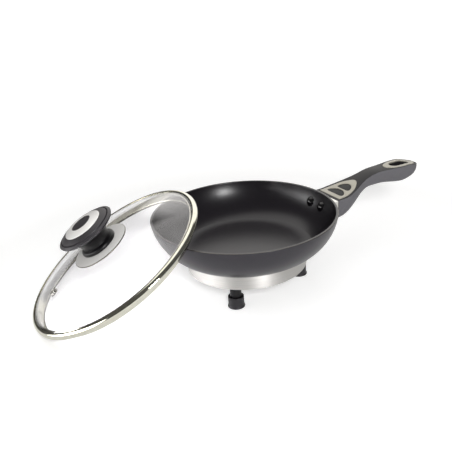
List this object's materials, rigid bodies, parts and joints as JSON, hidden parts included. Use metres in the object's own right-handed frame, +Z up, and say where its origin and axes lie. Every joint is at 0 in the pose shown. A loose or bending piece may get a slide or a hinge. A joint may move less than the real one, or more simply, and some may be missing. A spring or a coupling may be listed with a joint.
{
  "type": "electric skillet",
  "caption": "Round non-stick frying pan with a long handle, fixed on a heated steel base with rubber-capped legs; its loose domed glass lid leans on the rim.",
  "frame": {"origin": "pan's axis at the worktop", "axes": "+Z up along the pan axis, +X out along the handle"},
  "size_m": [0.4828, 0.2453, 0.1159],
  "materials": {
    "nonstick": "black non-stick coating on cast aluminium, satin",
    "rivet_black": "black coated, semi-gloss",
    "soft_grip": "charcoal soft-touch, satin",
    "pad_dark": "dark soft pad, matt",
    "silver_inlay": "warm silver paint, satin",
    "steel_brushed": "stainless, brushed round",
    "steel_polished": "stainless, polished",
    "steel_plain": "plain zinc plated steel",
    "foot_rubber": "black rubber, satin",
    "black_plastic": "black phenolic, semi-gloss",
    "knob_grey": "purple grey soft-touch, satin",
    "clear_glass": "clear toughened glass",
    "mica": "mica sheet",
    "ribbon": "resistance alloy",
    "fibre": "ceramic fibre",
    "cream_plastic": "cream heat-proof plastic",
    "lead_red": "silicone sleeve"
  },
  "bodies": {
    "skillet": {"pan": "nonstick", "pan_rivets": "rivet_black", "handle_bracket": "steel_plain", "handle_ferrule": "steel_polished", "handle_shell": "soft_grip", "handle_screw": "steel_plain", "handle_front_inlay": "silver_inlay", "handle_pads": "pad_dark", "handle_rear_inlay": "silver_inlay", "base_ring": "steel_brushed", "base_plate": "steel_plain", "cord_gland": "black_plastic", "clamp_stud": "steel_plain", "clamp_nuts": "steel_plain", "heating_ribbon": "ribbon", "mica_upper": "mica", "mica_lower": "mica", "insulation_pad": "fibre", "pressure_plate": "steel_plain", "thermostat": "black_plastic", "thermal_fuse": "cream_plastic", "terminal_block": "cream_plastic", "lead_wires": "lead_red", "leg_screws": "steel_plain", "leg_left": "black_plastic", "leg_right": "black_plastic", "leg_back": "black_plastic", "foot_left": "foot_rubber", "foot_right": "foot_rubber", "foot_back": "foot_rubber"},
    "lid": {"lid_glass": "clear_glass", "lid_band": "steel_polished", "vent_eyelet": "steel_polished", "knob_disc": "steel_polished", "knob_stem": "black_plastic", "knob_cap": "knob_grey", "knob_ring": "steel_polished", "knob_washer": "steel_plain", "knob_screw": "steel_plain"}
  },
  "joints": [
    {"name": "lid_lift", "type": "slide", "parent": "skillet", "child": "lid", "axis": [0, 0, 1], "range_m": [0, 0.15]}
  ]
}
